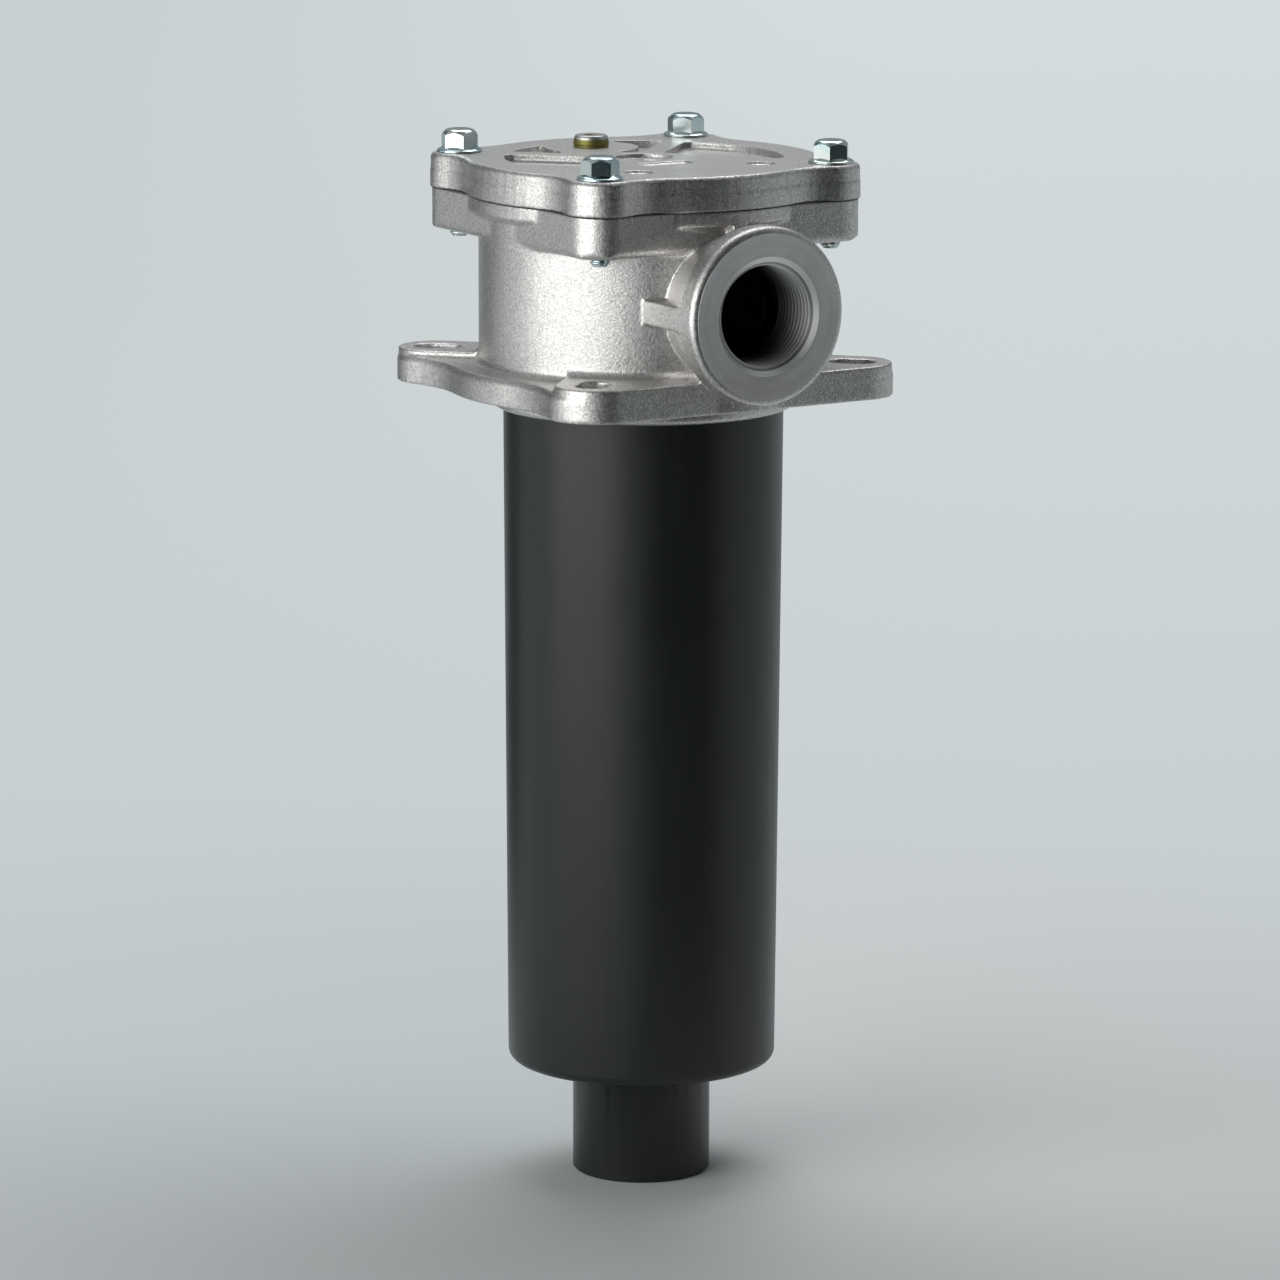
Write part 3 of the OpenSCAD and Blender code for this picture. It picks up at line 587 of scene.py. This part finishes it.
def plain_moulding(name, colour, roughness):
    """A small moulded piece: even colour with a faint cloud and a fine pebble."""
    material, shader, p = finish(name)
    cloud = p.noise(120, 3, 0.6)
    pebble = p.noise(1800, 2, 0.6)
    wire(shader, Base_Color=cloud.between(shade(colour, 0.85), shade(colour, 1.15)),
         Roughness=roughness + (cloud - 0.5) * 0.15, Normal=relief(pebble, 0.15, 0.04 * MM))
    return material


def drawn_steel(name, colour, roughness):
    """Bright steel wire or sheet with drawing marks and a faint stain."""
    material, shader, p = finish(name, metallic=1.0)
    mark = p.node("Mapping", {0: p, 3: (1.0, 1.0, 0.15)}).noise(1400, 2, 0.6)
    stain = p.noise(70, 3, 0.6)
    wire(shader, Base_Color=stain.between(shade(colour, 0.82), shade(colour, 1.12)),
         Roughness=roughness + (mark - 0.5) * 0.2, Normal=relief(mark, 0.15, 0.04 * MM))
    return material


def pleated_paper(name, colour):
    """Resin-cured filter paper: matt, fibrous and lightly mottled."""
    material, shader, p = finish(name, Specular_IOR_Level=0.2)
    fibre = p.node("Mapping", {0: p, 3: (1.0, 1.0, 0.4)}).noise(2200, 3, 0.7)
    mottle = p.noise(240, 3, 0.6)
    tone = (fibre - 0.5) * 0.8 + (mottle - 0.5) * 0.6 + 0.5
    wire(shader, Base_Color=tone.between(shade(colour, 0.75), shade(colour, 1.2)),
         Roughness=0.85 + (mottle - 0.5) * 0.1, Normal=relief(fibre, 0.4, 0.1 * MM))
    return material


# ---------------------------------------------------------------------------
# Pieces


def group_away_from_edges(obj, name, angle):
    """Puts the vertices whose edges all bend less than an angle, in degrees, into a vertex group."""
    mesh = obj.data
    normals = np.empty(3 * len(mesh.polygons))
    mesh.polygons.foreach_get("normal", normals)
    normals = normals.reshape(-1, 3)
    sides = np.empty(len(mesh.polygons), dtype=np.int32)
    mesh.polygons.foreach_get("loop_total", sides)
    face_of_loop = np.repeat(np.arange(len(sides)), sides)
    edge_of_loop = np.empty(len(mesh.loops), dtype=np.int32)
    mesh.loops.foreach_get("edge_index", edge_of_loop)
    ends = np.empty(2 * len(mesh.edges), dtype=np.int32)
    mesh.edges.foreach_get("vertices", ends)
    ends = ends.reshape(-1, 2)
    pairs = np.argsort(edge_of_loop, kind="stable").reshape(-1, 2)
    bend = (normals[face_of_loop[pairs[:, 0]]] * normals[face_of_loop[pairs[:, 1]]]).sum(axis=1)
    sharp = np.zeros(len(mesh.vertices), dtype=bool)
    sharp[ends[edge_of_loop[pairs[:, 0]][bend < math.cos(math.radians(angle))]]] = True
    for _ in range(2):
        beside = sharp[ends].any(axis=1)
        sharp[ends[beside]] = True
    obj.vertex_groups.new(name=name).add(np.flatnonzero(~sharp).tolist(), 1.0, "REPLACE")


def round_cast(obj, voxel, settings):
    """Gives a sharp copy of a casting the rounded edges and smooth walls of a real one."""
    modify(obj, "REMESH", mode="VOXEL", voxel_size=voxel)
    modify(obj, "SMOOTH", factor=0.5, iterations=settings.softness)
    group_away_from_edges(obj, "walls", settings.wall_angle)
    modify(obj, "SMOOTH", factor=0.5, iterations=settings.wall_smoothing, vertex_group="walls")
    faces = 2 * len(obj.data.polygons)
    if faces > settings.triangles:
        modify(obj, "DECIMATE", ratio=settings.triangles / faces)
    only(obj)
    bpy.ops.object.shade_smooth()


class FILTER_OT_add_head(bpy.types.Operator):
    """Adds the cast head with its machined and threaded inlet"""

    bl_idname = "filter.add_head"
    bl_label = "Add Head"

    # Along the inlet from the filter's axis, in millimetres
    FACE = 90.0
    THREAD_START = 65.2
    POCKET_START = 63.4
    PASSAGE_START = 59.0
    # Outer radii of the cut face and of the lining behind it, in millimetres
    RIM = 32.0
    LINING = 24.2
    # Other sizes, in millimetres
    CHAMFER = 2.15
    PROUD = 0.03  # how far the cut face stands before the casting
    BEHIND = 1.4  # how far the lining's outer edge lies behind the face
    NECK = 0.75  # how much narrower the passage is than the thread's crests

    def lining(self, thread):
        """The cut face, the chamfer, the thread and the passage behind it, as one shell standing on Z."""
        inner = BORE_CREST * MM
        mouth, rim, outer, face = BORE_MOUTH, self.RIM, self.LINING, self.FACE
        start, end, proud = self.THREAD_START, face - self.CHAMFER, face + self.PROUD
        shell = thread_tube("inlet_lining", inner, inner + thread.inlet_depth, thread.inlet_pitch,
                            start * MM, end * MM, thread.steps, inside=True)
        before = [(mouth - 0.12, face - 0.09), (mouth + 0.06, proud), (mouth + 0.3, proud),
                  (rim - 0.3, proud), (rim - 0.06, proud), (rim + 0.06, face - 0.1),
                  (rim + 0.06, face - 1.2), (outer, face - self.BEHIND)]
        neck, deep = BORE_CREST - self.NECK, self.PASSAGE_START
        behind = [(neck, start - 0.3), (neck, deep), (neck + 0.3, deep - 0.2),
                  (neck + 0.3, start - 1.2), (outer, start - 1.2)]
        for rim_at, loops in ((end, before), (start, behind)):
            grow_rim(shell, rim_at * MM, [(r * MM, z * MM) for r, z in loops])
        select_rims(shell)
        bpy.ops.mesh.bridge_edge_loops()
        tidy_shell()
        close_edit()
        return shell

    def execute(self, context):
        scene = context.scene
        casting = cad_copy("head", "head")
        place_of_inlet = inlet_turn()
        pocket = prism(96, self.LINING - 0.2, self.POCKET_START, self.FACE + 1.4)
        pocket.data.transform(place_of_inlet)
        cut(casting, pocket)
        round_cast(casting, scene.filter_casting.head_voxel, scene.filter_casting)
        casting.data.materials.append(cast_aluminium("cast_aluminium_head", scene.filter_finish.aluminium))
        lining = self.lining(scene.filter_thread)
        lining.data.transform(place_of_inlet)
        lining.data.materials.append(machined_aluminium("machined_aluminium", scene.filter_finish.machined))
        smooth(lining, 35)
        head = join([casting, lining], "head_casting")
        place(head, HOUSING, "cast_aluminium", "head")
        return {"FINISHED"}


class FILTER_OT_add_cover(bpy.types.Operator):
    """Adds the cast cover"""

    bl_idname = "filter.add_cover"
    bl_label = "Add Cover"

    def execute(self, context):
        scene = context.scene
        casting = cad_copy("cover", "cover_casting")
        round_cast(casting, scene.filter_casting.cover_voxel, scene.filter_casting)
        casting.data.materials.append(cast_aluminium("cast_aluminium_cover", scene.filter_finish.aluminium))
        place(casting, HOUSING, "cast_aluminium_cover", "cover")
        return {"FINISHED"}


class FILTER_OT_add_screws(bpy.types.Operator):
    """Adds the four flanged cover screws"""

    bl_idname = "filter.add_screws"
    bl_label = "Add Cover Screws"

    # Sizes in millimetres: across the flats, radii, and lengths
    FLATS = 13.0
    FLANGE = 8.95
    SHANK = 4.0
    ROOT = SHANK - 0.68
    PLAIN = SHANK - 0.3
    THREAD = 12.0
    POINT = 1.0
    # How each screw's hexagon is turned, in degrees, in the order of SCREW_NODES
    TURNS = (-73, -52, -91, -34)

    def flanged_head(self, top):
        """The flange and the hexagon, whose corners a dome rounds off."""
        wide, side = self.FLANGE, self.FLATS / 2
        flange = turned("screw", [(0, 0), (wide - 0.35, 0), (wide, 0.3), (wide, 0.75), (wide - 0.4, 1.15),
                                  (7.2, 1.75), (6.4, 2.2), (6.2, 3.2), (0, 3.2)], 64)
        corner = side / math.cos(math.radians(30))
        hexagon = prism(6, corner, 0.8, top)
        dome = turned("dome", [(0, 0.2), (corner + 1, 0.2), (corner + 1, top - 3),
                               (corner - 0.15, top - 2.2), (side - 0.35, top - 0.95),
                               (side - 1.1, top - 0.3), (side - 2, top), (0, top)], 64)
        cut(hexagon, dome, "INTERSECT")
        bevel(hexagon, 0.35, 3, 32)
        return [flange, hexagon]

    def threaded_shank(self, tip, pitch):
        """The thread with its point and the plain length above it."""
        end = tip + self.POINT
        top = end + self.THREAD
        shank = thread_tube("shank", self.ROOT * MM, (self.SHANK - 0.03) * MM, pitch, end * MM, top * MM,
                            40, inside=False)
        point = [(self.ROOT - 0.25, end - 0.45), (self.ROOT - 0.5, tip), (0.3, tip)]
        plain = [(self.PLAIN, top + 0.3), (self.PLAIN, 0.2), (0.3, 0.2)]
        for rim_at, loops in ((end, point), (top, plain)):
            grow_rim(shank, rim_at * MM, [(r * MM, z * MM) for r, z in loops])
        select_rims(shank)
        bpy.ops.mesh.edge_face_add()
        tidy_shell()
        close_edit()
        return shank

    def execute(self, context):
        top, tip = (SCREW_HIGH.z - COVER_TOP) / MM, (SCREW_LOW.z - COVER_TOP) / MM
        shank = self.threaded_shank(tip, context.scene.filter_thread.screw_pitch)
        model = join([*self.flanged_head(top), shank], "screw")
        model.data.materials.append(plated_zinc("blue_zinc", context.scene.filter_finish.zinc))
        smooth(model, 32)
        for node, turn in zip(SCREW_NODES, self.TURNS):
            low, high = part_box(node)
            screw = bpy.data.objects.new(node.replace("cover_screw", "flanged_screw"), model.data.copy())
            bpy.context.scene.collection.objects.link(screw)
            centre = Matrix.Translation(((low.x + high.x) / 2, (low.y + high.y) / 2, COVER_TOP))
            screw.data.transform(centre @ Matrix.Rotation(math.radians(turn), 4, "Z"))
            place(screw, HOUSING, "zinc_steel", node)
        bpy.data.objects.remove(model)
        return {"FINISHED"}


class FILTER_OT_add_plug(bpy.types.Operator):
    """Adds the gauge port plug and its sealing ring"""

    bl_idname = "filter.add_plug"
    bl_label = "Add Gauge Port Plug"

    # Sizes in millimetres
    LOWER = 0.4  # how far the plug's top stands below the solid's, as in the photo
    SOCKET_FLATS = 5.0
    SOCKET_DEPTH = 4.4

    def execute(self, context):
        seat, bottom = RING_HIGH.z / MM, PLUG_LOW.z / MM
        top = PLUG_HIGH.z / MM - self.LOWER
        plug = turned("plug", [(0, bottom), (3.9, bottom), (4.83, bottom + 0.9), (4.83, seat),
                               (6.95, seat), (7.1, seat + 0.15), (7.05, seat + 0.8), (6.7, top - 1.1),
                               (6.45, top - 0.5), (6.2, top - 0.2), (5.8, top), (3.1, top), (0, top)], 72)
        corner = self.SOCKET_FLATS / 2 / math.cos(math.radians(30))
        cut(plug, prism(6, corner, top - self.SOCKET_DEPTH, top + 1.6))
        bevel(plug, 0.12, 2, 40)
        low = RING_LOW.z / MM
        ring = turned("ring", [(5.0, low + 0.1), (5.1, low), (6.75, low), (6.9, low + 0.15),
                               (6.9, seat - 0.15), (6.75, seat), (5.1, seat), (5.0, seat - 0.1),
                               (5.0, low + 0.1)], 72)
        colour = context.scene.filter_finish.olive
        middle = (PLUG_LOW + PLUG_HIGH) / 2
        pieces = ((plug, "hex_socket_plug", "gauge_port_plug"), (ring, "bonded_ring", "plug_sealing_ring"))
        for obj, name, node in pieces:
            obj.data.transform(Matrix.Translation((middle.x, middle.y, 0)))
            obj.name = obj.data.name = name
            smooth(obj, 35)
            obj.data.materials.append(passivated("passivated_" + name, colour))
            place(obj, HOUSING, "passivated_steel", node)
        return {"FINISHED"}


class FILTER_OT_add_bowl(bpy.types.Operator):
    """Adds the moulded bowl with its outlet spout"""

    bl_idname = "filter.add_bowl"
    bl_label = "Add Bowl"

    def execute(self, context):
        nylon = moulded_nylon("moulded_nylon_bowl", context.scene.filter_finish.nylon)
        bowl = cad_copy("bowl", "moulded_bowl")
        smooth(bowl, 30)
        bowl.data.materials.append(nylon)
        place(bowl, HOUSING, "black_nylon", "bowl")
        return {"FINISHED"}


class FILTER_OT_finish_inside(bpy.types.Operator):
    """Gives the inner pieces their finishes"""

    bl_idname = "filter.finish_inside"
    bl_label = "Finish Inner Pieces"

    def execute(self, context):
        colours = context.scene.filter_finish
        finishes = {
            drawn_steel("plated_sheet", BARE_STEEL, 0.34):
                ("element_top_cap", "element_bottom_cap", "element_core"),
            drawn_steel("spring_wire", shade(BARE_STEEL, 0.75), 0.28): ("hold_down_spring", "bypass_spring"),
            pleated_paper("filter_paper", colours.paper): ("element_media",),
            plain_moulding("seal_rubber", colours.rubber, 0.5): ("cover_seal", "bowl_seal", "element_seal"),
            plain_moulding("valve_nylon", colours.nylon, 0.42): ("bypass_seat", "bypass_cage"),
            plain_moulding("poppet_plastic", colours.poppet, 0.4): ("bypass_poppet",),
        }
        for material, nodes in finishes.items():
            for node in nodes:
                for slot in frame["nodes"][node].material_slots:
                    slot.material = material
        return {"FINISHED"}


# ---------------------------------------------------------------------------
# Studio


class FILTER_OT_set_studio(bpy.types.Operator):
    """Sets the pale floor, the soft lights and the camera"""

    bl_idname = "filter.set_studio"
    bl_label = "Set Studio"

    FLOOR_RADIUS = 30.0
    # Outputs of the Light Path node: rays of the camera, glossy rays and transmitted rays
    SEEN, MIRRORED, THROUGH = 0, 3, 6
    # Lamps: place (to the right, away from the camera, up), what they point at, width and height, colour
    KEY = ((-1.28, -1.08, 0.29), (0, 0, 0.1), (1.9, 1.25), (1.0, 0.99, 0.97))
    TOP = ((0.1, 0.85, 1.6), (0, 0, -0.2), (1.6, 1.2), (0.97, 0.99, 1.0))

    def as_seen(self, p, heading):
        """How far a point or a direction lies to the camera's right, and how far away from the camera."""
        right = (math.cos(heading), math.sin(heading), 0)
        away = (-math.sin(heading), math.cos(heading), 0)
        return [p.node("VectorMath", {0: p, 1: axis}, out=1, operation="DOT_PRODUCT")
                for axis in (right, away)]

    def unlit(self, beside, behind):
        """1 where the room is dark, by direction: in front on the right, and behind on the left."""
        lit_front = (behind + beside * 0.35).step(-0.28, 0.08) * 0.7
        right = (beside + behind * 0.15).step(-0.33, -0.02) * (1 - lit_front)
        left = behind.step(0.40, 0.62) * (1 - beside.step(-0.60, -0.30)) * 0.95
        return right + left

    def pale_floor(self, studio):
        """A lit floor under the filter, with painted shade towards the camera and painted light to the right
        of the filter, that gives way to a glow in the photo's tones further out.
        """
        material = bpy.data.materials.new("pale_floor")
        material.use_nodes = True
        tree = material.node_tree
        tree.nodes.clear()
        start = Link(tree)
        p = start.node("TexCoord", out=3)
        distance = p.node("VectorMath", {0: p}, out=1, operation="LENGTH")
        beside, behind = self.as_seen(p, studio.camera_side)
        seen, mirrored, through = (start.node("LightPath", out=out)
                                   for out in (self.SEEN, self.MIRRORED, self.THROUGH))
        depth = behind.step(-0.1, 2.2) * 0.6 + behind.step(1.5, 5.0) * 0.4
        unlit = mirrored * self.unlit(beside / distance, behind / distance)
        far = beside.step(-0.7, 0.3).between(shade(studio.floor_far, 0.88), studio.floor_far)
        pale = depth.between(shade(studio.floor_far, 0.84), far)
        tone = unlit.over(pale, studio.dark)
        # Painted shade: the lit floor's colour darkens towards the camera.
        front = behind.step(-0.22, 0.25).between(shade(studio.floor_near, 0.74), studio.floor_near)
        # Painted light: the floor to the right of the filter is lightened towards white, over the key's
        # shadow.
        painted_light_right_of_filter = beside.step(0, 0.08) * (0.3 + behind.step(-0.2, 0) * 0.5)
        painted_light_right_of_filter *= 1 - beside.step(0.15, 0.35) * 0.4
        near = painted_light_right_of_filter.over(front, (1, 1, 1))
        lit = start.node("BsdfDiffuse", {"Color": near})
        glow = start.node("Emission", {"Color": tone, "Strength": 1.0})
        shown = (seen + mirrored + through).capped()
        far_out = (distance + beside * 0.08).step(0.12, 0.75) * 0.96
        mixed = start.node("MixShader", {0: shown * far_out, 1: lit, 2: glow})
        target = tree.nodes.new("ShaderNodeOutputMaterial")
        tree.links.new(mixed.socket, target.inputs["Surface"])
        return material

    def floor(self, studio):
        """A wide floor that the bowl's spout stands on."""
        bpy.ops.object.select_all(action="DESELECT")
        bpy.ops.mesh.primitive_circle_add(vertices=96, radius=self.FLOOR_RADIUS, fill_type="NGON",
                                          location=(0, 0, FLOOR_LEVEL))
        floor = bpy.context.object
        floor.name = "floor"
        floor.data.materials.append(self.pale_floor(studio))

    def lamp(self, name, settings, power, heading):
        """An area lamp whose place turns with the camera."""
        seen_from_camera, aim, size, colour = settings
        place = Matrix.Rotation(heading, 3, "Z") @ Vector(seen_from_camera)
        data = bpy.data.lights.new(name, "AREA")
        data.shape = "RECTANGLE"
        data.size, data.size_y = size
        data.energy = power
        data.color = colour
        lamp = bpy.data.objects.new(name, data)
        bpy.context.scene.collection.objects.link(lamp)
        lamp.location = place
        lamp.rotation_euler = (Vector(aim) - place).to_track_quat("-Z", "Y").to_euler()

    def room(self, studio):
        """A pale room whose dark parts only the filter's metal sees."""
        world = bpy.data.worlds.new("studio")
        bpy.context.scene.world = world
        world.use_nodes = True
        tree = world.node_tree
        tree.nodes.clear()
        start = Link(tree)
        p = start.node("TexCoord", out=0)
        seen = start.node("LightPath", out=self.SEEN)
        tone = (self.unlit(*self.as_seen(p, studio.camera_side)) * (1 - seen)).between(ROOM, studio.dark)
        background = start.node("Background", {"Color": tone, "Strength": studio.fill})
        target = tree.nodes.new("ShaderNodeOutputWorld")
        tree.links.new(background.socket, target.inputs["Surface"])

    def camera(self, studio):
        """A camera that stands as the photo's did."""
        data = bpy.data.cameras.new("camera")
        data.sensor_width = 36
        data.lens = studio.lens
        data.clip_start, data.clip_end = 0.05, 100
        camera = bpy.data.objects.new("camera", data)
        bpy.context.scene.collection.objects.link(camera)
        turn = (Matrix.Rotation(studio.camera_side, 4, "Z")
                @ Matrix.Rotation(math.radians(90) - studio.camera_pitch, 4, "X")
                @ Matrix.Rotation(studio.camera_roll, 4, "Z"))
        camera.matrix_world = Matrix.Translation(studio.camera_place) @ turn
        bpy.context.scene.camera = camera

    def execute(self, context):
        studio = context.scene.filter_studio
        self.floor(studio)
        self.lamp("key", self.KEY, studio.key_power, studio.camera_side)
        self.lamp("top", self.TOP, studio.top_power, studio.camera_side)
        self.room(studio)
        self.camera(studio)
        context.scene.view_settings.view_transform = "Standard"
        return {"FINISHED"}


class FILTER_PT_panel(bpy.types.Panel):
    """Lists the filter's pieces and settings"""

    bl_idname = "FILTER_PT_panel"
    bl_label = "Return Filter"
    bl_space_type = "VIEW_3D"
    bl_region_type = "UI"
    bl_category = "Filter"

    def draw(self, context):
        layout = self.layout
        for operator in OPERATORS:
            layout.operator(operator.bl_idname)
        for group in GROUPS:
            box = layout.box()
            settings = getattr(context.scene, group)
            for key in settings.bl_rna.properties.keys():
                if key not in {"rna_type", "name"}:
                    box.prop(settings, key)


OPERATORS = (FILTER_OT_add_head, FILTER_OT_add_cover, FILTER_OT_add_screws, FILTER_OT_add_plug,
             FILTER_OT_add_bowl, FILTER_OT_finish_inside, FILTER_OT_set_studio)
GROUPS = {"filter_casting": CastingSettings, "filter_thread": ThreadSettings,
          "filter_finish": FinishSettings, "filter_studio": StudioSettings}


def register():
    for group in GROUPS.values():
        bpy.utils.register_class(group)
    for operator in OPERATORS:
        bpy.utils.register_class(operator)
    bpy.utils.register_class(FILTER_PT_panel)
    for name, group in GROUPS.items():
        setattr(bpy.types.Scene, name, bpy.props.PointerProperty(type=group))


def unregister():
    for name in GROUPS:
        delattr(bpy.types.Scene, name)
    bpy.utils.unregister_class(FILTER_PT_panel)
    for cls in (*reversed(OPERATORS), *reversed(GROUPS.values())):
        bpy.utils.unregister_class(cls)


def main():
    register()
    bpy.ops.filter.add_head()
    bpy.ops.filter.add_cover()
    bpy.ops.filter.add_screws()
    bpy.ops.filter.add_plug()
    bpy.ops.filter.add_bowl()
    bpy.ops.filter.finish_inside()
    bpy.ops.filter.set_studio()


if __name__ == "__main__":
    main()
